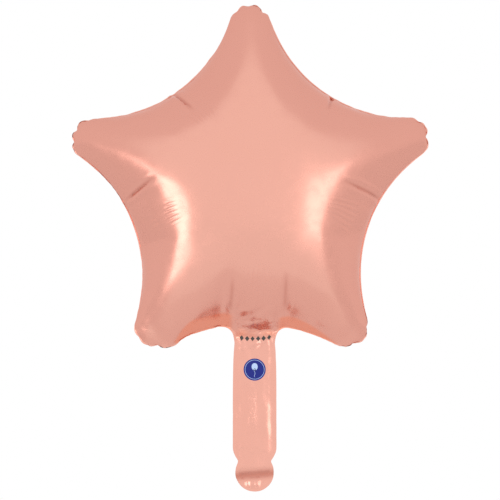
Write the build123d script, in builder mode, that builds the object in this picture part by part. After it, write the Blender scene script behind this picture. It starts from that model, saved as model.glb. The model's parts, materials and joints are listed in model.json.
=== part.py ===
"""Star-shaped foil balloon, blown up, with a flat filling tail and a round end tab.

Two foil panels are welded along a narrow seam round the star and down the tail. A sleeve of two thin
valve films lies between them, from the tab's open mouth, through the tail, into the star. The foil
bends at two creases, at the top of the tail and at the waist above the tab, and is cut there into
three bodies: the balloon, the tail and the tab.

Frame: millimetres, +Z up along the star's top arm, -Y the front. The origin is the middle of the
neck, just under the star, where a ribbon is tied or a stick's cup grips.
"""

import os
from math import cos, radians, sin, sqrt, tan

from build123d import *

# ---------------------------------------------------------------- star
ARMS = 5
STAR_X = -2.0  # the star hangs a little to the left of the neck
STAR_TIP_RADIUS = 104.8  # star centre to the seam at an arm's end
STAR_NOTCH_RADIUS = 68.2  # star centre to the seam in a notch between two arms
BOTTOM_NOTCH_RADIUS = 76.8  # the same in the bottom notch, which the neck pulls down
STAR_HALF_DEPTH = 39.0  # seam plane to the crown of one panel
SEAM_WIDTH = 1.2  # welded flange outside the star's seam line
FOIL = 0.3  # wall of a foil panel

# Contours of one panel from the seam to the crown: height as a share of the half depth, arm and notch
# as shares of their radii, then the arm end's half width and rounding depth in mm.
CONTOURS = [
    (0.00, 1.00, 1.000, 8.0, 3.5),
    (0.10, 0.985, 0.982, 8.0, 3.5),
    (0.23, 0.93, 0.950, 8.2, 4.0),
    (0.45, 0.79, 0.880, 9.5, 4.5),
    (0.66, 0.63, 0.780, 11.5, 4.8),
    (0.84, 0.45, 0.628, 13.0, 3.8),
    (0.95, 0.28, 0.420, 12.0, 3.1),
    (1.00, 0.13, 0.200, 7.0, 2.0),
]

# ---------------------------------------------------------------- neck, tail and tab
NECK_WIDTH = 24.4
NECK_LENGTH = 5.0  # the star's bottom edge to the tie point
NECK_FLARE = 5.0  # radius that runs the star's bottom edge into the neck's side
TIE_TO_CREASE = 4.0
TAIL_LENGTH = 65.0  # crease to waist
SHOULDER_LENGTH = 6.0  # the tail narrows to the waist over this length
SHOULDER_RADIUS = 5.0
WAIST_WELD = 0.9  # foil weld left on each side of the sleeve's pocket at the waist
TAB_RADIUS = 10.8
TAIL_FOLD_RANGE = 120.0  # degrees each way
TAB_FOLD_RANGE = 120.0  # degrees each way
CREASE_CLEARANCE = 0.1  # kept between two bodies at the end of a fold

# ---------------------------------------------------------------- valve sleeve and label
VALVE_WIDTH = 14.0
VALVE_FILM = 0.15  # wall of one film
VALVE_WELD = 1.5  # width of the weld that joins the films along each edge
VALVE_GAP = 0.1  # half of the flat air channel between the films
VALVE_INSIDE_STAR = 40.0  # length of sleeve above the tie point
VALVE_END_CHAMFER = 2.5
VALVE_TO_MOUTH = 2.0  # the sleeve stops this far inside the tab's open end
LAY_CLEARANCE = 0.05  # between a film and the foil over it
SIDE_CLEARANCE = 0.6  # foil pocket beyond the sleeve, on each side

LABEL_DIAMETER = 12.4
LABEL_FILM = 0.15
LABEL_BELOW_CREASE = 8.3  # crease to the label's edge

# ---------------------------------------------------------------- sizes that follow
POCKET_WIDTH = VALVE_WIDTH + 2 * SIDE_CLEARANCE
POCKET_DEPTH = VALVE_GAP + VALVE_FILM + LAY_CLEARANCE
PLY = POCKET_DEPTH + FOIL  # seam plane to the outer face of neck, tail and tab
WAIST_WIDTH = POCKET_WIDTH + 2 * WAIST_WELD


def crease_gap(fold_range):
    """Half of the slot that two flat stacks need to fold about the middle of their thickness."""
    return PLY * tan(radians(fold_range / 2)) + CREASE_CLEARANCE


STAR_CENTRE_Z = NECK_LENGTH + SEAM_WIDTH + BOTTOM_NOTCH_RADIUS
TAIL_CREASE_Z = -TIE_TO_CREASE
WAIST_Z = TAIL_CREASE_Z - TAIL_LENGTH
LIFT_END_Z = STAR_CENTRE_Z - BOTTOM_NOTCH_RADIUS + 2 * PLY  # the dome is higher than the sleeve here
NECK_END_Z = TAIL_CREASE_Z + crease_gap(TAIL_FOLD_RANGE)
TAIL_TOP_Z = TAIL_CREASE_Z - crease_gap(TAIL_FOLD_RANGE)
TAIL_END_Z = WAIST_Z + crease_gap(TAB_FOLD_RANGE)
TAB_TOP_Z = WAIST_Z - crease_gap(TAB_FOLD_RANGE)
TAB_CENTRE_Z = WAIST_Z - sqrt(TAB_RADIUS**2 - (WAIST_WIDTH / 2) ** 2)
TAB_END_Z = TAB_CENTRE_Z - TAB_RADIUS
LABEL_Z = TAIL_CREASE_Z - LABEL_BELOW_CREASE - LABEL_DIAMETER / 2

FRONT = Plane.XZ  # sketches: x to the right, y up, and a positive extrude goes to the front


# ---------------------------------------------------------------- shared shapes
def star_point(radius, angle, across=0.0):
    """Point at a radius from the star's centre, at an angle clockwise from the top arm."""
    turn = radians(angle)
    x = radius * sin(turn) + across * cos(turn)
    z = radius * cos(turn) - across * sin(turn)
    return (STAR_X + x, STAR_CENTRE_Z + z)


def star_outline(tip, notch, bottom_notch, half_width, rounding):
    """Closed outline of a star with blunt, rounded arm ends and bowed sides."""
    step = 360 / ARMS
    with BuildLine() as outline:
        for arm in range(ARMS):
            angle = arm * step
            left_end = star_point(tip - rounding, angle, -half_width)
            right_end = star_point(tip - rounding, angle, half_width)
            ThreePointArc(left_end, star_point(tip, angle), right_end)
            radius = bottom_notch if arm == ARMS // 2 else notch
            next_arm = star_point(tip - rounding, angle + step, -half_width)
            ThreePointArc(right_end, star_point(radius, angle + step / 2), next_arm)
    return outline.line


def dome(inset):
    """Half of the blown-up star as a solid, its surface inset from the foil's outer face."""
    with BuildPart() as half:
        for height, tip, notch, half_width, rounding in CONTOURS:
            pulled_down = (1 - height) * (BOTTOM_NOTCH_RADIUS - STAR_NOTCH_RADIUS)
            with BuildSketch(FRONT.offset(height * (STAR_HALF_DEPTH - inset))):
                with BuildLine():
                    add(
                        star_outline(
                            tip * STAR_TIP_RADIUS - inset,
                            notch * STAR_NOTCH_RADIUS - inset,
                            notch * STAR_NOTCH_RADIUS + pulled_down - inset,
                            half_width - inset,
                            rounding,
                        )
                    )
                make_face()
        loft()
    return half.part


def pocket(width, depth, top, bottom):
    """Block that leaves room for the valve sleeve, from the seam plane to a depth at the front."""
    with BuildPart() as block:
        with BuildSketch(FRONT):
            with Locations((0, (top + bottom) / 2)):
                Rectangle(width, top - bottom)
        extrude(amount=depth)
    return block.part


def front_film(top, bottom):
    """Front film of the sleeve: welded to the back film along both edges, open between them."""
    with BuildPart() as film:
        add(pocket(VALVE_WIDTH, VALVE_GAP + VALVE_FILM, top, bottom))
        add(pocket(VALVE_WIDTH - 2 * VALVE_WELD, VALVE_GAP, top, bottom), mode=Mode.SUBTRACT)
    return film.part


# ---------------------------------------------------------------- foil panels
with BuildPart() as front_star_panel:
    add(dome(0))
    with BuildSketch(FRONT):  # seam flange and the neck under it, flat in the seam plane
        _, _, _, end_half_width, end_rounding = CONTOURS[0]
        with BuildLine():
            add(
                star_outline(
                    STAR_TIP_RADIUS + SEAM_WIDTH,
                    STAR_NOTCH_RADIUS + SEAM_WIDTH,
                    BOTTOM_NOTCH_RADIUS + SEAM_WIDTH,
                    end_half_width + SEAM_WIDTH / 2,
                    end_rounding,
                )
            )
        make_face()
        with Locations((0, NECK_END_Z)):
            Rectangle(NECK_WIDTH, STAR_CENTRE_Z, align=(Align.CENTER, Align.MIN))
        flare_corners = [
            vertices().filter_by_position(Axis.X, side - FOIL, side + FOIL).sort_by(Axis.Y)[1]
            for side in (-NECK_WIDTH / 2, NECK_WIDTH / 2)
        ]
        neck_side = min(corner.Y for corner in flare_corners) - NECK_END_Z
        fillet(flare_corners, min(NECK_FLARE, 0.75 * neck_side))
    extrude(amount=FOIL)
    with BuildSketch(FRONT):  # the foil stands off over the sleeve, down the neck
        with Locations((0, NECK_END_Z)):
            Rectangle(POCKET_WIDTH + 2 * FOIL, LIFT_END_Z - NECK_END_Z, align=(Align.CENTER, Align.MIN))
    extrude(amount=PLY)
    add(dome(FOIL), mode=Mode.SUBTRACT)
    add(pocket(POCKET_WIDTH, POCKET_DEPTH, STAR_CENTRE_Z, NECK_END_Z), mode=Mode.SUBTRACT)

with BuildPart() as front_tail_panel:
    with BuildSketch(FRONT):
        with BuildLine():
            shoulder_z = WAIST_Z + SHOULDER_LENGTH
            Polyline(
                (-NECK_WIDTH / 2, TAIL_TOP_Z),
                (NECK_WIDTH / 2, TAIL_TOP_Z),
                (NECK_WIDTH / 2, shoulder_z),
                (WAIST_WIDTH / 2, TAIL_END_Z),
                (-WAIST_WIDTH / 2, TAIL_END_Z),
                (-NECK_WIDTH / 2, shoulder_z),
                close=True,
            )
        make_face()
        fillet(vertices().filter_by_position(Axis.Y, shoulder_z - FOIL, shoulder_z + FOIL), SHOULDER_RADIUS)
    extrude(amount=PLY)
    add(pocket(POCKET_WIDTH, POCKET_DEPTH, TAIL_TOP_Z, TAIL_END_Z), mode=Mode.SUBTRACT)

with BuildPart() as front_tab_panel:
    with BuildSketch(FRONT):
        with Locations((0, TAB_CENTRE_Z)):
            Circle(TAB_RADIUS)
        with Locations((0, TAB_TOP_Z)):
            Rectangle(
                2 * TAB_RADIUS, TAB_RADIUS, align=(Align.CENTER, Align.MIN), mode=Mode.SUBTRACT
            )
    extrude(amount=PLY)
    add(pocket(POCKET_WIDTH, POCKET_DEPTH, TAB_TOP_Z, TAB_END_Z), mode=Mode.SUBTRACT)

with BuildPart() as back_star_panel:
    add(front_star_panel.part)
    mirror(about=Plane.XZ, mode=Mode.REPLACE)

with BuildPart() as back_tail_panel:
    add(front_tail_panel.part)
    mirror(about=Plane.XZ, mode=Mode.REPLACE)

with BuildPart() as back_tab_panel:
    add(front_tab_panel.part)
    mirror(about=Plane.XZ, mode=Mode.REPLACE)

# ---------------------------------------------------------------- valve sleeve
with BuildPart() as valve_front_star:
    add(front_film(VALVE_INSIDE_STAR, NECK_END_Z))
    top_corners = edges().filter_by(Axis.Y).group_by(Axis.Z)[-1].sort_by(Axis.X)
    chamfer([top_corners[0], top_corners[-1]], VALVE_END_CHAMFER)

with BuildPart() as valve_front_tail:
    add(front_film(TAIL_TOP_Z, TAIL_END_Z))

with BuildPart() as valve_front_tab:
    add(front_film(TAB_TOP_Z, TAB_END_Z + VALVE_TO_MOUTH))

with BuildPart() as valve_back_star:
    add(valve_front_star.part)
    mirror(about=Plane.XZ, mode=Mode.REPLACE)

with BuildPart() as valve_back_tail:
    add(valve_front_tail.part)
    mirror(about=Plane.XZ, mode=Mode.REPLACE)

with BuildPart() as valve_back_tab:
    add(valve_front_tab.part)
    mirror(about=Plane.XZ, mode=Mode.REPLACE)

# ---------------------------------------------------------------- label
with BuildPart() as round_label:
    with BuildSketch(FRONT.offset(PLY)):
        with Locations((0, LABEL_Z)):
            Circle(LABEL_DIAMETER / 2)
    extrude(amount=LABEL_FILM)

# ---------------------------------------------------------------- export
os.makedirs("parts", exist_ok=True)

front_star_panel.part.label = "front_star_panel"
back_star_panel.part.label = "back_star_panel"
front_tail_panel.part.label = "front_tail_panel"
back_tail_panel.part.label = "back_tail_panel"
front_tab_panel.part.label = "front_tab_panel"
back_tab_panel.part.label = "back_tab_panel"
valve_front_star.part.label = "valve_front_star"
valve_back_star.part.label = "valve_back_star"
valve_front_tail.part.label = "valve_front_tail"
valve_back_tail.part.label = "valve_back_tail"
valve_front_tab.part.label = "valve_front_tab"
valve_back_tab.part.label = "valve_back_tab"
round_label.part.label = "round_label"

export_step(front_star_panel.part, "parts/front_star_panel.step")
export_step(back_star_panel.part, "parts/back_star_panel.step")
export_step(front_tail_panel.part, "parts/front_tail_panel.step")
export_step(back_tail_panel.part, "parts/back_tail_panel.step")
export_step(front_tab_panel.part, "parts/front_tab_panel.step")
export_step(back_tab_panel.part, "parts/back_tab_panel.step")
export_step(valve_front_star.part, "parts/valve_front_star.step")
export_step(valve_back_star.part, "parts/valve_back_star.step")
export_step(valve_front_tail.part, "parts/valve_front_tail.step")
export_step(valve_back_tail.part, "parts/valve_back_tail.step")
export_step(valve_front_tab.part, "parts/valve_front_tab.step")
export_step(valve_back_tab.part, "parts/valve_back_tab.step")
export_step(round_label.part, "parts/round_label.step")
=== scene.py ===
"""Rose-gold foil star balloon, blown up by a cloth simulation from its flat cut.

The front and back foil start as one flat sheet each, welded along the seam. Air pressure lifts them
apart while the seam is drawn in to the outline that the blown-up star takes, which gives the star
its pillow shape. The finest puckers are then evened out, and the creases, the crumpled neck and the
lift over the valve sleeve are added. Outlines are in millimetres in the row frame's XZ plane, and
everything is scaled to metres when its mesh is made.
"""

import json
import math

import bpy
import numpy as np
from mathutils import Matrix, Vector, noise
from mathutils.bvhtree import BVHTree
from mathutils.geometry import delaunay_2d_cdt
from mathutils.kdtree import KDTree


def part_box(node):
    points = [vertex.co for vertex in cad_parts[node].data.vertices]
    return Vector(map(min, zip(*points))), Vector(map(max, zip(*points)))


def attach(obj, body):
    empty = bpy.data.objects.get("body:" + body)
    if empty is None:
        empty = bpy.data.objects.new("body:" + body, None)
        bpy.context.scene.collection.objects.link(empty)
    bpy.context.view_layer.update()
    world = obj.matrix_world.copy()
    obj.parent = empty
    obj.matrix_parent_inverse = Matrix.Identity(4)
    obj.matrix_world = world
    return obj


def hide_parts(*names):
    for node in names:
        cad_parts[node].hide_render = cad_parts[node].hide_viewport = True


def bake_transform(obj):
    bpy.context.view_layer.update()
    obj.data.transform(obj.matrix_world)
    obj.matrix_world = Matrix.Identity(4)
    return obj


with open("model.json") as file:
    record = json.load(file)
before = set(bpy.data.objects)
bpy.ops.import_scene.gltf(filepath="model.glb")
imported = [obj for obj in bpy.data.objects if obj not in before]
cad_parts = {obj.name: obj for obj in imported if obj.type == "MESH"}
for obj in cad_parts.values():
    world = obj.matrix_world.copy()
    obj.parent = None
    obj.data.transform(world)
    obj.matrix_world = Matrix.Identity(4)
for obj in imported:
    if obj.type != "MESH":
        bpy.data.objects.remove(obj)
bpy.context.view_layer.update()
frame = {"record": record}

MM = 0.001
RECORD = frame["record"]
MOUNTS = {m["name"]: m for m in RECORD["mounts"]}
JOINTS = {j["name"]: j for j in RECORD["behaviour"]["joints"]}

# ---------------------------------------------------------------- sizes read from the frame, in mm
crown = [v / MM for v in MOUNTS["back_crown"]["pos_m"]]
STAR_X, STAR_Z = crown[0], crown[2]
star_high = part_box("front_star_panel")[1] / MM
tail_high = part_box("front_tail_panel")[1] / MM
film_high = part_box("valve_front_star")[1] / MM
tab_low, tab_high = (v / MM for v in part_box("front_tab_panel"))
label_low, label_high = (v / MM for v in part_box("round_label"))
NECK_HALF = tail_high.x
TAB_RADIUS = tab_high.x
TAIL_CREASE = JOINTS["tail_fold"]["pos_m"][2] / MM
WAIST = JOINTS["tab_fold"]["pos_m"][2] / MM
MOUTH = tab_low.z
LABEL_RADIUS = label_high.x
LABEL_Z = (label_low.z + label_high.z) / 2
SLEEVE_HALF = film_high.x

SEAM_WIDTH = 1.2  # flange round the star
HIDDEN_SEAM = 0.65  # this much of the flange is covered by the bulging foil
TAIL_WELD = 2.2  # welded edge of the neck, tail and tab
WAIST_HALF = 8.5
SHOULDER = 6.0  # the tail narrows over this height above the waist
TAB_SHARE = 12.0  # the tail's foil is parted this far above the waist, where it is flat

# The blown-up seam, and the flat cut it comes from: star centre to an arm's end, to a notch and to
# the bottom notch, the arm end's half width and rounding depth, the radius into the neck's side, and
# where the arms point, in degrees clockwise from the top and once round.
BLOWN = dict(
    tip=star_high.z - STAR_Z - SEAM_WIDTH,
    notch=68.2,
    bottom=74.8,
    half=9.8,
    rounding=5.0,
    flare=8.0,
    arms=(-0.4, 71.5, 144.8, 214.5, 287.2, 359.6),
)
FLAT = dict(
    tip=117.0,
    notch=86.5,
    bottom=90.0,
    half=12.3,
    rounding=6.5,
    flare=9.0,
    arms=(0.0, 72.0, 144.0, 216.0, 288.0, 360.0),
)
BOTTOM_SIDE = 2  # the side after this arm carries the neck
ARM_END = 0.85  # an arm's end starts at this share of the tip's distance
NECK_DROP = 13.0  # the flat cut's tail starts this much lower
TAIL_SLACK = 1.012  # the flat tail is this much longer than the tail as it hangs

# Dents that part each arm's end into lobes: how far each lies across the arm, clockwise, and its
# depth. A negative depth is a bulge.
DENTS = [
    [(-8.0, 1.5), (-0.5, 1.0), (8.0, 2.4)],
    [(-8.4, 1.2), (3.0, 2.2)],
    [(-9.7, 1.5), (3.1, 1.6)],
    [(-12.0, -2.2), (-7.0, 2.2), (5.0, 0.8)],
    [(-4.5, 2.2), (2.6, 2.6), (10.0, 1.6)],
]
DENT_WIDTH, BULGE_WIDTH = 2.0, 6.5
SEAM_WAVE, SEAM_WAVE_LENGTH = 0.45, 9.0  # the welded edge isn't quite flat

# Creases on the front, mirrored on the back, each from the edge inwards: (radius, angle) from the
# star's centre, in degrees clockwise from the top, at its start and its end, then its depth.
CREASES = [
    ((68.0, -39.0), (51.0, -39.0), 1.4),
    ((71.0, 41.0), (59.0, 45.0), 1.3),
    ((71.0, 94.0), (48.0, 88.0), 1.4),
    ((69.0, -95.0), (54.0, -86.0), 1.4),
    ((70.0, 190.0), (52.0, 193.0), 0.9),
    ((70.0, 165.0), (52.0, 160.0), 0.9),
]
CREASE_WIDTH = 0.8
DEEPEST = max(depth for _, _, depth in CREASES)
CREASE_SHADE = 0.7  # the share of the painted fold shade in the deepest crease

# The strip of painted shade along the star's bottom edge, left and right of the neck: its width, and how
# far out it starts to narrow and ends.
BANDS = (6.3, 34.0, 50.0), (5.0, 20.0, 52.0)
BAND_TOP = 28.0  # the strip lies below this height
NECK_TOP = 20.0  # the foil is taut above this height
SLEEVE_LIFT, SLEEVE_EDGE = 0.22, 1.2  # the foil stands off over the valve sleeve in neck and tail

STEP = 1.9  # spacing of the cloth's vertices
FOIL = 0.1  # thickness of the foil as shown
FILM = 0.05  # thickness of a valve film as shown
VALVE_TO_MOUTH = 3.0  # the films stop this far inside the tab's open end
FILM_GAP = 0.15  # half of the air channel between the two films
LABEL_LIFT, LABEL_FILM = 0.13, 0.08  # the label's gap to the foil, and its thickness
FLANGE_FACING = 0.8  # how far the flange's shading turns to face straight forwards or backwards

# ---------------------------------------------------------------- how the foil is blown up
SIM = 0.01  # the cloth is simulated ten times its size, where the solver is steady
EVENED = 12  # rounds of smoothing afterwards
START_GAP = 0.3  # half of the gap between the panels at the start
PRESSED_ABOVE = -5.0  # full pressure above this height of the flat cut
TAIL_PRESSURE = 0.08  # share of the pressure that reaches the flat tail
TAIL_FLATNESS = 0.7  # how much of that swelling stays, once the air is in the star
DRAWN_IN_AT, LAST_FRAME = 14, 24  # the seam is in place at the first, the foil at rest at the last
CLOTH = dict(
    quality=8,
    mass=0.0006,
    air_damping=1.0,
    tension_stiffness=80,
    compression_stiffness=4,
    shear_stiffness=20,
    bending_stiffness=0.02,
    tension_damping=5,
    compression_damping=5,
    shear_damping=5,
    bending_damping=0.5,
    use_pressure=True,
    uniform_pressure_force=20,
    vertex_group_pressure="pressed",
    vertex_group_mass="pinned",
)


# ---------------------------------------------------------------- outlines
def arc(a, b, c, count=40):
    """Points on the circle through a, b and c, from a to c."""
    (ax, ay), (bx, by), (cx, cy) = a, b, c
    d = 2 * (ax * (by - cy) + bx * (cy - ay) + cx * (ay - by))
    sa, sb, sc = ax**2 + ay**2, bx**2 + by**2, cx**2 + cy**2
    centre_x = (sa * (by - cy) + sb * (cy - ay) + sc * (ay - by)) / d
    centre_y = (sa * (cx - bx) + sb * (ax - cx) + sc * (bx - ax)) / d
    centre = np.array([centre_x, centre_y])
    radius = np.hypot(*(np.array(a) - centre))
    turn = [math.atan2(*(np.array(p) - centre)[::-1]) for p in (a, b, c)]
    first = (turn[1] - turn[0] + math.pi) % (2 * math.pi) - math.pi
    whole = (turn[2] - turn[0]) % (2 * math.pi)
    if first < 0:
        whole -= 2 * math.pi
    angles = turn[0] + whole * np.linspace(0, 1, count)
    return centre + radius * np.stack([np.cos(angles), np.sin(angles)], 1)


def halves(line):
    """A polyline's two halves, which share its middle point."""
    middle = len(line) // 2
    return line[: middle + 1], line[middle:]


def star_outline(tip, notch, bottom, half, rounding, flare, arms, drop=0.0, slack=1.0):
    """Seam line as a list of polylines, clockwise from the top arm's end, down one side of the tail
    and up the other. Every outline has the same polylines in the same order."""

    def point(radius, angle, across=0.0):
        t = math.radians(angle)
        x = STAR_X + radius * math.sin(t) + across * math.cos(t)
        return np.array([x, STAR_Z + radius * math.cos(t) - across * math.sin(t)])

    parts = []
    for arm in range(5):
        a, b = arms[arm : arm + 2]
        left, apex, right = point(tip - rounding, a, -half), point(tip, a), point(tip - rounding, a, half)
        before, after = halves(arc(left, apex, right, 41))
        following = point(tip - rounding, b, -half)
        if arm:
            parts.append(before)
        parts.append(after)
        depth = bottom if arm == BOTTOM_SIDE else notch
        side = arc(right, point(depth, (a + b) / 2), following, 161)
        if arm == BOTTOM_SIDE:
            parts += neck(side, flare, drop, slack)
        else:
            parts += halves(side)
    # The first half of the top arm's end closes the outline. In both outlines it points straight up.
    left, apex, right = point(tip - rounding, 0, -half), point(tip, 0), point(tip - rounding, 0, half)
    parts.append(halves(arc(left, apex, right, 41))[0])
    return parts


def neck(side, flare, drop, slack):
    """The bottom side, cut open for the neck, tail and tab between its two halves."""
    half = NECK_HALF - TAIL_WELD
    waist = WAIST_HALF - TAIL_WELD
    radius = TAB_RADIUS - TAIL_WELD

    def level(z):
        return (z - TAIL_CREASE) * slack + TAIL_CREASE - drop

    def start(sign):
        x = sign * (half + flare)
        return np.array([x, np.interp(x, side[::-1, 0], side[::-1, 1])])

    parts = []
    for sign in (1, -1):
        top = start(sign)
        low = np.array([sign * half, top[1] - flare])
        bend = np.array([top[0] - sign * flare * math.sqrt(0.5), top[1] - flare * (1 - math.sqrt(0.5))])
        run = side[side[:, 0] > top[0]] if sign > 0 else side[side[:, 0] < top[0]]
        crease = np.array([sign * half, level(TAIL_CREASE)])
        shoulder = np.array([sign * half, level(WAIST + SHOULDER)])
        pinch = np.array([sign * waist, level(WAIST)])
        centre_z = WAIST - math.sqrt(TAB_RADIUS**2 - WAIST_HALF**2)
        opening = math.asin(waist / radius)
        angles = np.linspace(opening, math.pi, 30)
        heights = [level(centre_z + radius * math.cos(t)) for t in angles]
        tab = np.stack([sign * radius * np.sin(angles), heights], 1)
        bow = (shoulder + pinch) / 2 + np.array([sign * 0.8, 0.4])
        tail = np.concatenate([[crease, shoulder], arc(shoulder, bow, pinch, 8)[1:]])
        tab = np.concatenate([[pinch], tab])
        if sign > 0:
            parts += [np.concatenate([run, [top]]), arc(top, bend, low, 9), np.array([low, crease])]
            parts += [tail, tab]
        else:
            parts += [tab[::-1], tail[::-1]]
            parts += [np.array([crease, low]), arc(low, bend, top, 9), np.concatenate([[top], run])]
    return parts


def along(line):
    """Share of its own length at each point of a polyline."""
    length = np.concatenate([[0], np.cumsum(np.hypot(*np.diff(line, axis=0).T))])
    return length / length[-1], length[-1]


def matched(flat_parts, blown_parts, step):
    """Evenly spaced points of the flat outline, and where each of them goes."""
    flat, blown = [], []
    for a, b in zip(flat_parts, blown_parts):
        share_a, length = along(a)
        share_b, _ = along(b)
        for t in np.linspace(0, 1, max(1, round(length / step)) + 1)[:-1]:
            flat.append([np.interp(t, share_a, a[:, k]) for k in (0, 1)])
            blown.append([np.interp(t, share_b, b[:, k]) for k in (0, 1)])
    return np.array(flat), np.array(blown)


def respaced(line, step):
    """A closed outline with evenly spaced points."""
    closed = np.concatenate([line, line[:1]])
    share, length = along(closed)
    t = np.linspace(0, 1, round(length / step) + 1)[:-1]
    return np.stack([np.interp(t, share, closed[:, k]) for k in (0, 1)], 1)


def grown(line, width):
    """A closed clockwise outline moved outwards by a width at each point."""
    edge = np.roll(line, -1, 0) - line
    edge /= np.hypot(*edge.T)[:, None]
    normal = np.stack([-edge[:, 1], edge[:, 0]], 1)
    both = normal + np.roll(normal, 1, 0)
    both /= np.hypot(*both.T)[:, None]
    return line + both * (width / np.maximum(0.6, (both * normal).sum(1)))[:, None]


def inside(line, points):
    """Which points lie inside a closed outline."""
    x, y = points.T
    hit = np.zeros(len(points), bool)
    for (ax, ay), (bx, by) in zip(line, np.roll(line, -1, 0)):
        if ay != by:
            hit ^= ((ay > y) != (by > y)) & (x < (bx - ax) * (y - ay) / (by - ay) + ax)
    return hit


def dented(line):
    """The star's seam with the dents that part each arm's end into lobes."""
    edge = np.roll(line, -1, 0) - np.roll(line, 1, 0)
    edge /= np.hypot(*edge.T)[:, None]
    inward = np.stack([edge[:, 1], -edge[:, 0]], 1)
    local = line - (STAR_X, STAR_Z)
    moved = line.copy()
    for arm, places in enumerate(DENTS):
        t = math.radians(BLOWN["arms"][arm])
        at_end = local @ (math.sin(t), math.cos(t)) > ARM_END * BLOWN["tip"]
        for across, depth in places:
            miss = np.where(at_end, abs(local @ (math.cos(t), -math.sin(t)) - across), math.inf)
            near = np.hypot(*(line - line[miss.argmin()]).T)
            width = DENT_WIDTH if depth > 0 else BULGE_WIDTH
            moved += inward * (depth * np.exp(-((near / width) ** 2)))[:, None]
    return moved


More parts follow.
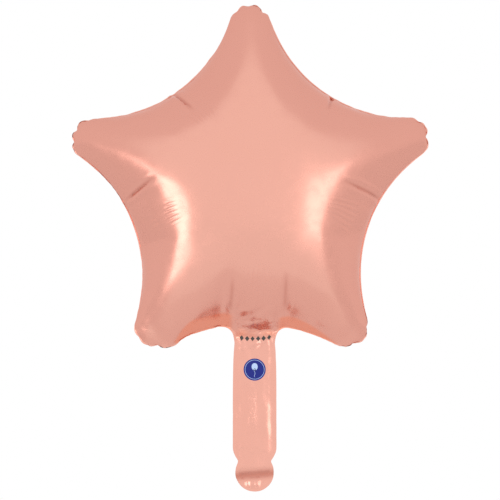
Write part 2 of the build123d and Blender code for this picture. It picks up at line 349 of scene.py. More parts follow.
# ---------------------------------------------------------------- the foil as cloth
class Foil:
    """Both panels as one mesh: front and back joined along the seam, with a flange outside it."""

    def __init__(self):
        flat_cut = star_outline(**FLAT, drop=NECK_DROP, slack=TAIL_SLACK)
        seam, goal = matched(flat_cut, star_outline(**BLOWN), STEP)
        root = STAR_Z - FLAT["bottom"]
        width = np.interp(seam[:, 1], [root - FLAT["flare"], root], [TAIL_WELD, SEAM_WIDTH])
        width = np.where(abs(seam[:, 0]) < 2 * NECK_HALF, width, SEAM_WIDTH)
        hidden = np.interp(width, [SEAM_WIDTH, TAIL_WELD], [HIDDEN_SEAM, 0.0])
        self.goal = dented(grown(goal, hidden))
        edge = respaced(grown(seam, width), STEP)
        cut, triangles = self.triangulate(seam, edge)
        in_seam = inside(seam, cut[triangles].mean(1))
        front, self.flange = triangles[in_seam], triangles[~in_seam]
        on_flange, on_front = (np.isin(np.arange(len(cut)), f) for f in (self.flange, front))
        inner = on_front & ~on_flange
        twin = np.arange(len(cut))
        twin[inner] = len(cut) + np.arange(inner.sum())
        self.front, self.back = front, twin[front][:, ::-1]
        self.seam = np.arange(len(seam))
        waves = [noise.noise(Vector((x, z, 0)) / SEAM_WAVE_LENGTH) for x, z in goal]
        self.pucker = SEAM_WAVE * np.array(waves)
        self.free = np.nonzero(on_flange & ~on_front)[0]
        flat = np.concatenate([cut, cut[inner]])
        depth = np.concatenate([np.where(inner, -START_GAP, 0.0), np.full(inner.sum(), START_GAP)])
        self.flat = np.stack([flat[:, 0], depth, flat[:, 1]], 1)

    def evened(self, co):
        """The blown-up foil with its finest puckers evened out and the star's flange partly covered."""
        co = co.copy()
        held = np.zeros(len(co), bool)
        held[self.seam] = held[self.free] = True
        sides = np.unique(sides_of(np.concatenate([self.front, self.back])), axis=0)
        count = np.zeros((len(co), 1))
        np.add.at(count, sides.ravel(), 1)
        for _ in range(EVENED):
            total = np.zeros_like(co)
            np.add.at(total, sides[:, 0], co[sides[:, 1]])
            np.add.at(total, sides[:, 1], co[sides[:, 0]])
            even = 0.5 * co + 0.5 * total / np.maximum(count, 1)
            co = np.where(held[:, None], co, even)
        a, b = self.flat[self.seam][:, [0, 2]], np.roll(self.flat[self.seam][:, [0, 2]], -1, 0)
        run = ((b - a) ** 2).sum(1)
        for n in self.free:
            spot = self.flat[n, [0, 2]]
            share = np.clip(((spot - a) * (b - a)).sum(1) / run, 0, 1)
            off = np.hypot(*(a + share[:, None] * (b - a) - spot).T)
            k = off.argmin()
            foot = co[self.seam[k]] * (1 - share[k]) + co[self.seam[(k + 1) % len(a)]] * share[k]
            kept = np.interp(off[k], [SEAM_WIDTH, TAIL_WELD], [1 - HIDDEN_SEAM / SEAM_WIDTH, 1.0])
            co[n] = foot + kept * (co[n] - foot)
        return co

    def triangulate(self, seam, edge):
        """Even triangles that keep the seam and the outer edge as lines."""
        rim = np.concatenate([seam, edge])
        low, high = rim.min(0), rim.max(0)
        rows = np.arange(low[1], high[1], STEP * math.sqrt(3) / 2)
        grid = []
        for n, z in enumerate(rows):
            grid += [(x, z) for x in np.arange(low[0] + n % 2 * STEP / 2, high[0], STEP)]
        grid = np.array(grid)
        grid = grid[inside(edge, grid)]
        near = KDTree(len(rim))
        for n, (x, z) in enumerate(rim):
            near.insert((x, z, 0), n)
        near.balance()
        grid = np.array([(x, z) for x, z in grid if near.find((x, z, 0))[2] > 0.62 * STEP])
        a, b = len(seam), len(edge)
        loops = [(n, (n + 1) % a) for n in range(a)] + [(a + n, a + (n + 1) % b) for n in range(b)]
        points = [Vector(p) for p in np.concatenate([rim, grid])]
        cut, _, triangles, *_ = delaunay_2d_cdt(points, loops, [], 0, 1e-6)
        cut, triangles = np.array([tuple(v) for v in cut]), np.array(triangles)
        triangles = triangles[inside(edge, cut[triangles].mean(1))]
        u, v = (cut[triangles[:, k]] - cut[triangles[:, 0]] for k in (1, 2))
        flipped = u[:, 0] * v[:, 1] - u[:, 1] * v[:, 0] < 0
        triangles[flipped] = triangles[flipped][:, ::-1]
        return cut, triangles

    def blow_up(self):
        """Cloth with air pressure while the seam is drawn in. Gives every vertex's place, in mm."""
        mesh = bpy.data.meshes.new("cloth")
        faces = np.concatenate([self.front, self.back, self.flange])
        mesh.from_pydata((self.flat * SIM).tolist(), [], faces.tolist())
        cloth = bpy.data.objects.new("cloth", mesh)
        bpy.context.scene.collection.objects.link(cloth)
        pressed, pinned = cloth.vertex_groups.new(name="pressed"), cloth.vertex_groups.new(name="pinned")
        share = np.interp(self.flat[:, 2], [TAIL_CREASE - NECK_DROP, PRESSED_ABOVE], [TAIL_PRESSURE, 1.0])
        share[self.free] = 0
        for n, weight in enumerate(share):
            pressed.add([n], float(weight), "REPLACE")
        pinned.add(self.seam.tolist(), 1.0, "REPLACE")
        cloth.shape_key_add(name="Basis")
        drawn_in = cloth.shape_key_add(name="drawn_in")
        for n, (x, z) in zip(self.seam, self.goal):
            drawn_in.data[int(n)].co = Vector((x, self.pucker[n], z)) * SIM
        for value, at in ((0.0, 1), (1.0, DRAWN_IN_AT)):
            drawn_in.value = value
            drawn_in.keyframe_insert("value", frame=at)
        modifier = cloth.modifiers.new("cloth", "CLOTH")
        for name, value in CLOTH.items():
            setattr(modifier.settings, name, value)
        modifier.settings.effector_weights.gravity = 0
        modifier.collision_settings.use_collision = False
        scene = bpy.context.scene
        scene.frame_start, scene.frame_end = 1, LAST_FRAME
        modifier.point_cache.frame_end = LAST_FRAME
        for at in range(1, LAST_FRAME + 1):
            scene.frame_set(at)
        blown = cloth.evaluated_get(bpy.context.evaluated_depsgraph_get()).data
        co = np.empty(len(self.flat) * 3)
        blown.vertices.foreach_get("co", co)
        bpy.data.objects.remove(cloth)
        return co.reshape(-1, 3) / SIM


# ---------------------------------------------------------------- meshes from the blown-up foil
def normals_of(co, faces):
    """Smooth unit normal at every vertex."""
    a, b, c = (co[faces[:, k]] for k in range(3))
    face = np.cross(b - a, c - a)
    total = np.zeros_like(co)
    for k in range(3):
        np.add.at(total, faces[:, k], face)
    return total / np.maximum(np.linalg.norm(total, axis=1), 1e-9)[:, None]


def sides_of(faces):
    """The three sides of every triangle, each as a sorted pair of vertices."""
    return np.sort(np.concatenate([faces[:, [0, 1]], faces[:, [1, 2]], faces[:, [2, 0]]]), axis=1)


def refined(values, faces):
    """One step of Loop subdivision, for any columns of values on a triangle mesh's vertices."""
    count = len(values)
    edges, which, uses = np.unique(sides_of(faces), axis=0, return_inverse=True, return_counts=True)
    which = which.ravel()
    opposite = np.zeros((len(edges), values.shape[1]))
    np.add.at(opposite, which, values[np.concatenate([faces[:, 2], faces[:, 0], faces[:, 1]])])
    ends = values[edges].sum(1)
    rim = uses == 1
    middles = np.where(rim[:, None], ends / 2, ends * 3 / 8 + opposite / 8)
    around, rim_around = np.zeros_like(values), np.zeros_like(values)
    valence = np.zeros((count, 1))
    for k in (0, 1):
        np.add.at(around, edges[:, k], values[edges[:, 1 - k]])
        np.add.at(valence, edges[:, k], 1)
        np.add.at(rim_around, edges[rim, k], values[edges[rim, 1 - k]])
    share = np.where(valence > 3, 3 / (8 * valence), 3 / 16)
    moved = values * (1 - valence * share) + around * share
    on_rim = np.unique(edges[rim])
    moved[on_rim] = 0.75 * values[on_rim] + 0.125 * rim_around[on_rim]
    a, b, c = faces.T
    ab, bc, ca = (which + count).reshape(3, -1)
    split = [(a, ab, ca), (b, bc, ab), (c, ca, bc), (ab, bc, ca)]
    return np.concatenate([moved, middles]), np.concatenate([np.stack(f, 1) for f in split])


def shell(name, co, normals, faces, flat, thickness, marks=None):
    """Closed thin solid on a sheet: its inner side on co, its outer side thickness away. Its vertices
    keep their place on the flat cut, and each of the marks, from 0 to 1, as an attribute."""
    used, faces = np.unique(faces, return_inverse=True)
    faces = faces.reshape(-1, 3)
    count = len(used)
    inner, outward = co[used], normals[used]
    sides = {(u, v) for a, b, c in faces.tolist() for u, v in ((a, b), (b, c), (c, a))}
    every = faces.tolist() + (faces[:, ::-1] + count).tolist()
    every += [(v, u, u + count, v + count) for u, v in sorted(sides) if (v, u) not in sides]
    mesh = bpy.data.meshes.new(name)
    both = np.concatenate([inner + outward * thickness, inner])
    mesh.from_pydata((both * MM).tolist(), [], every)
    mesh.polygons.foreach_set("use_smooth", [True] * len(mesh.polygons))
    place = mesh.uv_layers.new(name="cut")
    where = np.tile(flat[used] * MM, (2, 1))
    loops = np.empty(len(mesh.loops), np.int32)
    mesh.loops.foreach_get("vertex_index", loops)
    place.data.foreach_set("uv", where[loops].astype(np.float32).ravel())
    for mark, share in (marks or {}).items():
        layer = mesh.attributes.new(mark, "FLOAT", "POINT")
        layer.data.foreach_set("value", np.tile(share[used], 2).astype(np.float32))
    mesh.normals_split_custom_set_from_vertices(np.concatenate([outward, -outward]).tolist())
    piece = bpy.data.objects.new(name, mesh)
    bpy.context.scene.collection.objects.link(piece)
    return piece


def eased(value, start, end):
    """0 before start, 1 after end, smooth between them."""
    t = np.clip((value - start) / (end - start), 0, 1)
    return t * t * (3 - 2 * t)


def field(co, scale, seed):
    """Smooth noise over the front view, from about -1 to 1, with its own scale along x and z."""
    return np.array([noise.noise(Vector((x / scale[0], seed, z / scale[1]))) for x, _, z in co])


def crumpled(co):
    """How far the limp foil of neck, tail and tab waves to the back, both panels together, and how deep
    in its folds each point lies, as the share of painted shade in the foil's colour for the tab's dark
    band and the neck's folds."""
    x, _, z = co.T
    moved, folds = np.zeros(len(co)), np.zeros(len(co))
    limp = (z < NECK_TOP) & (abs(x) < 2 * NECK_HALF)
    x, z, spots = x[limp], z[limp], co[limp]
    tail = 1 - eased(z, TAIL_CREASE - 4, TAIL_CREASE + 6)
    neck = eased(z, TAIL_CREASE - 6, TAIL_CREASE + 3) * (1 - eased(z, 6, NECK_TOP))
    neck *= 1 - eased(abs(x), 12, 20)
    tab = 1 - eased(z, WAIST - 13, WAIST - 9)
    band = np.exp(-(((z - WAIST + 8 - 0.08 * x) / 2.2) ** 2))
    creased = field(spots, (4.5, 7), 11) + 0.5 * field(spots, (7, 3), 19)
    ridged = abs(field(spots, (9, 15), 31)) + 0.5 * abs(field(spots, (6, 22), 37))
    moved[limp] = tail * (0.5 * field(spots, (14, 24), 3) + 0.15 * field(spots, (5, 9), 7) + 0.4 * ridged)
    moved[limp] += 1.5 * neck * creased + 1.8 * band + tab * 0.9 * field(spots, (2.6, 9), 23)
    # painted shade: the tab's dark band and the neck's folds darken the foil's colour
    folds[limp] = 0.95 * band + 0.15 * neck * eased(creased, 0.15, 0.6)
    return moved, folds


def painted_underside_shade(co):
    """How much painted shade each point takes, from 0 to 1: a strip of painted shade and self-reflection
    along the star's bottom edge, and patches of painted shade across its neck."""
    edge = foil.goal[(foil.goal[:, 1] > TAIL_CREASE) & (foil.goal[:, 1] < BAND_TOP)]
    x, _, z = co.T
    shade = np.zeros(len(co))
    for n in np.nonzero((z < BAND_TOP) & (z > TAIL_CREASE))[0]:
        gap = np.hypot(*(edge - (x[n], z[n])).T).min()
        width, narrows, ends = BANDS[0] if x[n] < 0 else BANDS[1]
        width *= 1 - eased(abs(x[n]), narrows, ends)
        shade[n] = (1 - eased(gap, width - 0.8, width + 0.8)) * eased(abs(x[n]), 11.5, 15.0)
    neck = np.exp(-(((z - 1.5) / 2.5) ** 2)) * (1 - eased(abs(x), 9.0, 14.0))
    patches = 0.5 + 0.9 * field(co, (5.0, 3.0), 41)
    return np.maximum(shade, np.clip(neck * patches, 0, 1))


def from_star(radius, angle, front):
    """Place in the front view, by distance and direction from the star's centre. The back is mirrored."""
    t = math.radians(angle)
    return STAR_X + (1 if front else -1) * radius * math.sin(t), STAR_Z + radius * math.cos(t)


def relief(co, front):
    """How far the foil stands out of its blown-up shape, by its creases and the lift over the sleeve, and
    how deep in a crease each point lies, which sets the painted shade along the crease."""
    x, _, z = co.T
    tall, folds = np.zeros(len(co)), np.zeros(len(co))
    for start, end, depth in CREASES:
        (ax, az), (bx, bz) = from_star(*start, front), from_star(*end, front)
        length = math.hypot(bx - ax, bz - az)
        ux, uz = (bx - ax) / length, (bz - az) / length
        along_it = (x - ax) * ux + (z - az) * uz
        off = abs((x - ax) * uz - (z - az) * ux)
        fade = eased(along_it, -3, 2) * (1 - eased(along_it, 0.5 * length, length))
        tall -= depth * fade * (np.exp(-off / CREASE_WIDTH) - 0.35 * np.exp(-(((off - 3) / 1.5) ** 2)))
        # painted shade along each crease, in the foil's colour
        folds += CREASE_SHADE * depth / DEEPEST * fade * np.exp(-((off / CREASE_WIDTH) ** 2))
    sleeve = 1 - eased(abs(x), SLEEVE_HALF + SLEEVE_EDGE / 2, SLEEVE_HALF + 1.5 * SLEEVE_EDGE)
    tall += SLEEVE_LIFT * sleeve * (1 - eased(z, TAIL_CREASE, NECK_TOP)) * eased(z, MOUTH + 2, MOUTH + 4)
    return tall, folds


class Panel:
    """One side of the foil: refined, crumpled where it is limp, and with its creases."""

    def __init__(self, blown, faces, front):
        used, faces = np.unique(faces, return_inverse=True)
        outer = np.isin(used, foil.free)[:, None]
        values = np.concatenate([blown[used], foil.flat[used], outer], 1)
        values, self.faces = refined(values, faces.reshape(-1, 3))
        self.co, self.flat = values[:, :3], values[:, [3, 5]]
        self.co[:, 1] *= np.interp(self.co[:, 2], [TAIL_CREASE - 8, TAIL_CREASE], [TAIL_FLATNESS, 1.0])
        # painted shade: the strip along the bottom edge and the patches across the neck
        self.under = painted_underside_shade(self.co)
        waves, self.folds = crumpled(self.co)
        self.co[:, 1] += waves
        tall, creases = relief(self.co, front)
        self.co += normals_of(self.co, self.faces) * tall[:, None]
        # painted shade in creases and folds
        self.folds = np.minimum(1, self.folds + creases)
        flange = eased(values[:, 6], 0.0, 0.5)[:, None]  # 0 on the panel, 1 from halfway out
        outward = np.array([0.0, -1.0 if front else 1.0, 0.0])
        turned = FLANGE_FACING * flange
        self.normals = normals_of(self.co, self.faces) * (1 - turned) + outward * turned
        self.normals /= np.linalg.norm(self.normals, axis=1)[:, None]
        self.tree = BVHTree.FromPolygons(self.co.tolist(), self.faces.tolist())
        self.front = front

    def depth(self, x, z):
        """Where the panel's outer side lies along y, at a point of the front view."""
        side = -1 if self.front else 1
        found = self.tree.ray_cast(Vector((x, 200 * side, z)), Vector((0, -side, 0)))[0]
        return (found or self.tree.find_nearest(Vector((x, 0, z)))[0]).y

    def piece(self, name, chosen):
        """The chosen faces as one sheet of foil, with its place on the flat cut and its marks."""
        # both marks carry painted shade into the foil's colour
        marks = {"fold": self.folds, "under": self.under}
        piece = shell(name, self.co, self.normals, self.faces[chosen], self.flat, FOIL, marks)
        return piece


def strip(name, side, top, bottom):
    """One film of the valve sleeve between two heights, midway between the foil panels."""
    across = np.linspace(-SLEEVE_HALF, SLEEVE_HALF, 9)
    down = np.linspace(top, bottom, round((top - bottom) / 1.5) + 1)
    sign = -1 if side == "front" else 1
    co, flat = [], []
    for z in down:
        for x in across:
            low, high = panels["front"].depth(x, z), panels["back"].depth(x, z)
            co.append((x, (low + high) / 2 + sign * min(0.4 * (high - low) / 2, FILM_GAP), z))
            flat.append((x, z))
    faces = []
    wide = len(across)
    for row in range(len(down) - 1):
        for column in range(wide - 1):
            n = row * wide + column
            faces += [(n, n + wide, n + wide + 1), (n, n + wide + 1, n + 1)]
    co, faces = np.array(co), np.array(faces)
    if sign > 0:
        faces = faces[:, ::-1]
    piece = shell(name, co, normals_of(co, faces), faces, np.array(flat), FILM)
    return piece


foil = Foil()
co = foil.evened(foil.blow_up())
CUT_HEIGHT = (WAIST + TAB_SHARE - TAIL_CREASE) * TAIL_SLACK + TAIL_CREASE - NECK_DROP
panels = {
    "front": Panel(co, np.concatenate([foil.front, foil.flange]), True),
    "back": Panel(co, np.concatenate([foil.back, foil.flange[:, ::-1]]), False),
}
pieces, films = {}, {}
for side, panel in panels.items():
    upper = panel.flat[panel.faces][:, :, 1].mean(1) > CUT_HEIGHT
    pieces[side, "star_and_tail"] = panel.piece(f"{side}_star_and_tail", upper)
    pieces[side, "tail_end_and_tab"] = panel.piece(f"{side}_tail_end_and_tab", ~upper)
    parting, end = WAIST + TAB_SHARE, MOUTH + VALVE_TO_MOUTH
    films[side, "star_and_tail"] = strip(f"valve_{side}_upper", side, film_high.z, parting)
    films[side, "tail_end_and_tab"] = strip(f"valve_{side}_lower", side, parting, end)


# ---------------------------------------------------------------- the foil pieces in place of the CAD parts
def across(joint, reach):
    """Start and end, in the row frame, of the bend about a fold."""
    x, y, z = JOINTS[joint]["pos_m"]
    return (x, y, z + reach * MM), (x, y, z - reach * MM)


for (side, part), piece in pieces.items():
    film = films[side, part]
    if part == "star_and_tail":
        for each in (piece, film):
            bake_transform(each)
        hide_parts(f"{side}_star_panel", f"{side}_tail_panel")
        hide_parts(f"valve_{side}_star", f"valve_{side}_tail")
    else:
        for each in (piece, film):
            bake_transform(each)
        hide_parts(f"{side}_tab_panel")
        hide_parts(f"valve_{side}_tab")


# ---------------------------------------------------------------- label
def disc(name, radius, x, z, rings=10, sectors=48):
    """Thin round label that lies on the tail's front foil."""
    flat = [(0.0, 0.0)]
    for ring in range(1, rings + 1):
        for k in range(sectors):
            t = 2 * math.pi * k / sectors
            flat.append((radius * ring / rings * math.cos(t), radius * ring / rings * math.sin(t)))
    faces = [(0, 1 + (k + 1) % sectors, 1 + k) for k in range(sectors)]
    for ring in range(rings - 1):
        for k in range(sectors):
            a, b = 1 + ring * sectors + k, 1 + ring * sectors + (k + 1) % sectors
            faces += [(a, b, b + sectors), (a, b + sectors, a + sectors)]
    co = np.array([(x + u, panels["front"].depth(x + u, z + v) - LABEL_LIFT, z + v) for u, v in flat])
    faces = np.array([f[::-1] if n < sectors else f for n, f in enumerate(faces)])
    normals = normals_of(co, faces)
    if normals[0, 1] > 0:
        faces, normals = faces[:, ::-1], -normals
    return shell(name, co, normals, faces, np.array(flat), LABEL_FILM)


label = disc("printed_label", LABEL_RADIUS, 0.0, LABEL_Z)
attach(label, "tail")
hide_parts("round_label")


# ---------------------------------------------------------------- materials
ROSE_GOLD, ROSE_GOLD_PALE = (0.730, 0.322, 0.250, 1), (0.755, 0.342, 0.270, 1)
PAINTED_FOLD_SHADE = (0.46, 0.125, 0.085, 1)  # painted shade: foil deep in a fold reflects itself, so it is painted darker and more orange
PAINTED_UNDERSIDE_SHADE = (0.80, 0.25, 0.15, 1)  # painted shade and self-reflection: the strip along the bottom edge and the patches across the neck
EDGE_TINT = (0.86, 0.62, 0.56, 1)
PRINT_GREY = (0.035, 0.032, 0.030, 1)
MARK_X, MARK_Z = 0.4, -1.6  # middle of the printed row, on the tail as it hangs
SPECKLE_Z = -40.0
GATHERS = 115  # fine folds in a full turn about the star's centre
LABEL_BLUE, LABEL_PALE = (0.012, 0.018, 0.19, 1), (0.50, 0.62, 0.86, 1)
FILM_MILKY, FILM_CLEAR = (0.78, 0.80, 0.80, 1), (0.9, 0.9, 0.88, 1)


class Paint:
    """A node material built up step by step."""

    def __init__(self, name):
        self.material = bpy.data.materials.new(name)
        self.material.use_nodes = True
        self.tree = self.material.node_tree
        self.surface = self.tree.nodes["Principled BSDF"]

    def node(self, kind, **values):
        node = self.tree.nodes.new(kind)
        for name, value in values.items():
            setattr(node, name, value)
        return node

    def feed(self, socket, value):
        if isinstance(value, bpy.types.NodeSocket):
            self.tree.links.new(value, socket)
        else:
            socket.default_value = value

    def math(self, operation, *values):
        node = self.node("ShaderNodeMath", operation=operation)
        for socket, value in zip(node.inputs, values):
            self.feed(socket, value)
        return node.outputs[0]

    def plus(self, a, b):
        return self.math("ADD", a, b)

    def minus(self, a, b):
        return self.math("SUBTRACT", a, b)

    def times(self, a, b):
        return self.math("MULTIPLY", a, b)

    def distance(self, a, b):
        """Length of the vector with the two components."""
        return self.math("SQRT", self.plus(self.times(a, a), self.times(b, b)))

    def mark(self, name):
        """One of the mesh's own marks, from 0 to 1."""
        return self.node("ShaderNodeAttribute", attribute_name=name).outputs["Fac"]

    def noise(self, vector, scale, detail=2.0):
        """Noise, from 0 to 1, on a vector in metres; scale counts its waves in a metre."""
        node = self.node("ShaderNodeTexNoise")
        self.feed(node.inputs["Vector"], vector)
        node.inputs["Scale"].default_value = scale
        node.inputs["Detail"].default_value = detail
        return node.outputs[0]

    def ranged(self, value, low, high, to_low=0.0, to_high=1.0):
        """The value eased from one range to another, and kept inside it."""
        node = self.node("ShaderNodeMapRange", interpolation_type="SMOOTHSTEP")
        for socket, number in zip(node.inputs, (value, low, high, to_low, to_high)):
            self.feed(socket, number)
        return node.outputs[0]

    def blended(self, share, a, b):
        """Colour a where the share is 0, colour b where it is 1."""
        node = self.node("ShaderNodeMix", data_type="RGBA")
        for socket, value in zip((node.inputs[0], node.inputs[6], node.inputs[7]), (share, a, b)):
            self.feed(socket, value)
        return node.outputs[2]

    def bump(self, height, distance, strength):
        node = self.node("ShaderNodeBump")
        node.inputs["Strength"].default_value = strength
        node.inputs["Distance"].default_value = distance
        self.feed(node.inputs["Height"], height)
        self.feed(self.surface.inputs["Normal"], node.outputs[0])

    def cut(self):
        """The place on the flat cut, in metres: the vector, its x and its z."""
        place = self.node("ShaderNodeUVMap", uv_map="cut").outputs[0]
        parts = self.node("ShaderNodeSeparateXYZ")
        self.feed(parts.inputs[0], place)
        return place, parts.outputs[0], parts.outputs[1]


def between(paint, value, low, high, soft):
    """1 between two values, and 0 outside, over a soft edge."""
    rise = paint.ranged(value, low - soft, low + soft)
    return paint.times(rise, paint.ranged(value, high - soft, high + soft, 1.0, 0.0))


def on_cut(z):
    """Height on the flat cut, in metres, of a height in mm on the tail as it hangs."""
    return ((z - TAIL_CREASE) * TAIL_SLACK + TAIL_CREASE - NECK_DROP) * MM


def printed_row(paint, x, z):
    """A plain row of small printed diamonds across the neck, where the foil carries its maker's line."""
    pitch, half_height, reach = 3.0 * MM, 2.0 * MM, 9.0 * MM
    start, end = MARK_X * MM - reach, MARK_X * MM + reach
    turn = paint.math("FRACT", paint.math("DIVIDE", paint.minus(x, start), pitch))
    over = paint.math("ABSOLUTE", paint.minus(turn, 0.5))
    up = paint.math("ABSOLUTE", paint.math("DIVIDE", paint.minus(z, on_cut(MARK_Z)), 2 * half_height))
    diamond = paint.ranged(paint.plus(over, up), 0.36, 0.46, 1.0, 0.0)
    return paint.times(diamond, between(paint, x, start, end, 0.01 * MM))


def speckled(paint, x, z):
    """A line of small dimples down the middle of the tail, where the valve films are tacked."""
    middle_z = on_cut(SPECKLE_Z)
    beside = between(paint, x, -3.4 * MM, 0.6 * MM, 1.2 * MM)
    return paint.times(beside, between(paint, z, middle_z - 11 * MM, middle_z + 9 * MM, 4 * MM))


def gathered(paint, place, x, z):
    """Fine ribs that point at the star's centre, in patches beside its notches."""
    from_x, from_z = paint.minus(x, STAR_X * MM), paint.minus(z, STAR_Z * MM)
    turn = paint.math("ARCTAN2", from_x, from_z)
    radius = paint.distance(from_x, from_z)
    wander = paint.times(paint.noise(place, 70, 1), 2.5)
    ribs = paint.math("SINE", paint.plus(paint.times(turn, GATHERS), wander))
    near_notch = paint.ranged(paint.math("COSINE", paint.times(turn, 5.0)), -1.0, -0.55, 1.0, 0.0)
    near_edge = between(paint, radius, 47 * MM, 64 * MM, 4 * MM)
    patchy = paint.ranged(paint.noise(place, 30, 1), 0.4, 0.5)
    return paint.times(paint.times(ribs, near_notch), paint.times(near_edge, patchy))


def crinkled(paint, place, x, z):
    """Small crinkles on the limp foil, strongest across the neck, faint on the taut star."""
    taut_from = NECK_TOP - NECK_DROP
    limp = paint.ranged(z, (taut_from - 8) * MM, taut_from * MM, 1.0, 0.06)
    across_neck = between(paint, x, -16 * MM, 16 * MM, 3 * MM)
    at_neck = paint.times(between(paint, z, -16 * MM, 1 * MM, 3 * MM), across_neck)
    return paint.times(paint.noise(place, 180, 4), paint.plus(limp, paint.times(at_neck, 2.5)))


def foil_paint(name, marked):
    """Rose-gold metal film under clear lacquer, with fine gathers beside the star's notches."""
    paint = Paint(name)
    place, x, z = paint.cut()
    surface = paint.surface
    surface.inputs["Metallic"].default_value = 1.0
    surface.inputs["Specular Tint"].default_value = EDGE_TINT
    surface.inputs["Coat Weight"].default_value = 0.4
    surface.inputs["Coat Roughness"].default_value = 0.12

    # painted shade and self-reflection: the strip along the bottom edge and the patches across the neck
    under = paint.times(paint.mark("under"), 0.75)
    tint = paint.blended(paint.noise(place, 22, 3), ROSE_GOLD, ROSE_GOLD_PALE)
    tint = paint.blended(under, tint, PAINTED_UNDERSIDE_SHADE)
    # painted shade: creases, folds and the tab's band darkened towards deep orange
    tint = paint.blended(paint.times(paint.mark("fold"), 0.8), tint, PAINTED_FOLD_SHADE)
    rough = paint.ranged(paint.noise(place, 160, 4), 0.35, 0.7, 0.23, 0.3)
    if marked:
        printed = printed_row(paint, x, z)
        tint = paint.blended(printed, tint, PRINT_GREY)
        paint.feed(surface.inputs["Metallic"], paint.minus(1.0, printed))
        rough = paint.plus(rough, paint.times(printed, 0.2))
    paint.feed(surface.inputs["Base Color"], tint)
    paint.feed(surface.inputs["Roughness"], rough)

    gathers = paint.times(gathered(paint, place, x, z), 0.14)
    height = paint.plus(gathers, paint.times(crinkled(paint, place, x, z), 0.35))
    dimples = paint.times(paint.noise(place, 900, 2), speckled(paint, x, z))
    height = paint.plus(height, paint.times(dimples, 0.5))
    paint.bump(height, MM, 0.8)
    return paint.material


def label_paint():
    """Dark blue print with a pale ring and a small plain balloon on its string."""
    paint = Paint("label_print")
    place, x, z = paint.cut()

    def round_at(centre_x, centre_z, tall=1.0):
        over = paint.minus(x, centre_x * MM)
        return paint.distance(over, paint.math("DIVIDE", paint.minus(z, centre_z * MM), tall))

    soft = 0.06 * MM
    ring = between(paint, round_at(0, 0), 5.25 * MM, 5.45 * MM, soft)
    balloon = between(paint, round_at(0, 1.6, 1.2), -MM, 1.7 * MM, soft)
    sway = paint.times(paint.math("SINE", paint.times(z, 2.2 / MM)), 0.22 * MM)
    beside = paint.math("ABSOLUTE", paint.minus(x, sway))
    string_z = between(paint, z, -4.2 * MM, -0.5 * MM, soft)
    string = paint.times(between(paint, beside, -MM, 0.1 * MM, soft), string_z)
    printed = paint.math("MAXIMUM", ring, paint.math("MAXIMUM", balloon, string))
    faded = paint.times(printed, paint.ranged(paint.noise(place, 1500, 2), 0.25, 0.5, 0.7, 0.9))
    rough = paint.ranged(paint.noise(place, 700, 3), 0.3, 0.7, 0.3, 0.42)
    paint.feed(paint.surface.inputs["Base Color"], paint.blended(faded, LABEL_BLUE, LABEL_PALE))
    paint.feed(paint.surface.inputs["Roughness"], rough)
    paint.surface.inputs["Specular IOR Level"].default_value = 0.2
    paint.bump(paint.noise(place, 900, 3), 0.05 * MM, 0.3)
    return paint.material


def film_paint():
    """Clear, slightly milky plastic film."""
    paint = Paint("valve_film")
    place, _, _ = paint.cut()
    cloudy = paint.noise(place, 300, 3)
    paint.feed(paint.surface.inputs["Base Color"], paint.blended(cloudy, FILM_MILKY, FILM_CLEAR))
    paint.feed(paint.surface.inputs["Roughness"], paint.ranged(cloudy, 0.3, 0.7, 0.3, 0.45))
    paint.surface.inputs["Alpha"].default_value = 0.6
    paint.bump(cloudy, 0.1 * MM, 0.4)
    return paint.material


marked_foil, plain_foil = foil_paint("foil_front_marked", True), foil_paint("foil_plain", False)
for (side, part), piece in pieces.items():
    marked = (side, part) == ("front", "star_and_tail")
    piece.data.materials.append(marked_foil if marked else plain_foil)
film_material = film_paint()
for film in films.values():
    film.data.materials.append(film_material)
label.data.materials.append(label_paint())


# ---------------------------------------------------------------- floor, light and camera
scene = bpy.context.scene
scene.view_settings.view_transform = "Standard"
middle = Vector((STAR_X, 0, (star_high.z + MOUTH) / 2)) * MM


def area_light(name, place, size, energy, target=middle, color=(1.0, 1.0, 1.0)):
    """A rectangular light at a place, turned to its target."""
    light = bpy.data.lights.new(name, "AREA")
    light.shape, light.size, light.size_y = "RECTANGLE", *size
    light.energy, light.color = energy, color
    lamp = bpy.data.objects.new(name, light)
    scene.collection.objects.link(lamp)
    lamp.location = place
    lamp.rotation_euler = (Vector(target) - lamp.location).to_track_quat("-Z", "Y").to_euler()


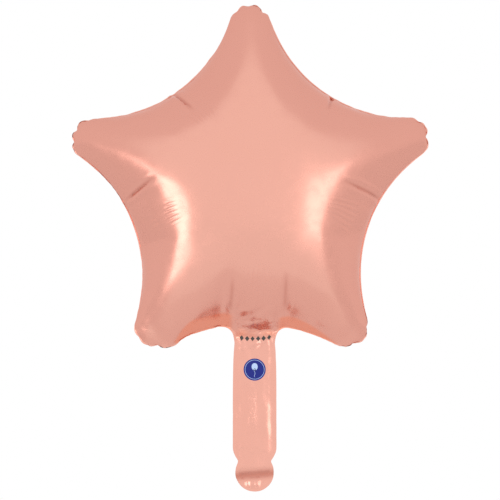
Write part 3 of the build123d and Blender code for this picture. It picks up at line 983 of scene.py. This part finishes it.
area_light("left_strip", (-0.69, -0.64, -0.12), (0.42, 0.38), 1.0)
area_light("right_strip", (0.57, -0.76, 0.03), (0.42, 0.42), 0.68)
WALL_Z, WALL_COLOR = 0.65, (0.62, 1.0, 1.0)  # cool, so that its reflection is nearly neutral on rose gold
area_light("front_wall", (0.0, -1.9, WALL_Z), (4.4, 6.3), 23.5, (0, 0, WALL_Z), WALL_COLOR)
world = bpy.data.worlds.new("studio")
world.use_nodes = True
world.node_tree.nodes["Background"].inputs["Color"].default_value = (1.0, 1.0, 1.0, 1)
world.node_tree.nodes["Background"].inputs["Strength"].default_value = 1.0
scene.world = world

floor_mesh = bpy.data.meshes.new("floor")
FLOOR_Z, FLOOR_HALF = -2.6, 20.0
corners = [(x * FLOOR_HALF, y * FLOOR_HALF, FLOOR_Z) for x, y in ((-1, -1), (1, -1), (1, 1), (-1, 1))]
floor_mesh.from_pydata(corners, [], [(0, 1, 2, 3)])
floor = bpy.data.objects.new("floor", floor_mesh)
scene.collection.objects.link(floor)
floor_paint = Paint("floor_paint")
floor_paint.surface.inputs["Base Color"].default_value = (0.93, 0.93, 0.93, 1)
floor_paint.surface.inputs["Roughness"].default_value = 0.6
floor_mesh.materials.append(floor_paint.material)

CAMERA_AZIMUTH, CAMERA_ELEVATION = math.radians(-3.0), math.radians(-6.0)
CAMERA_DISTANCE = 1.5
VIEW_HALF = 0.1403  # half of the picture's width at the balloon
AIM_SHIFT = Vector((-0.6, 0, -2.6)) * MM
level = Vector((math.sin(CAMERA_AZIMUTH), -math.cos(CAMERA_AZIMUTH), 0))
to_camera = level * math.cos(CAMERA_ELEVATION) + Vector((0, 0, math.sin(CAMERA_ELEVATION)))
camera = bpy.data.objects.new("camera", bpy.data.cameras.new("camera"))
scene.collection.objects.link(camera)
scene.camera = camera
camera.location = middle + AIM_SHIFT + to_camera * CAMERA_DISTANCE
camera.rotation_mode = "QUATERNION"
camera.rotation_quaternion = (-to_camera).to_track_quat("-Z", "Y")
camera.data.lens = camera.data.sensor_width / 2 / (VIEW_HALF / CAMERA_DISTANCE)
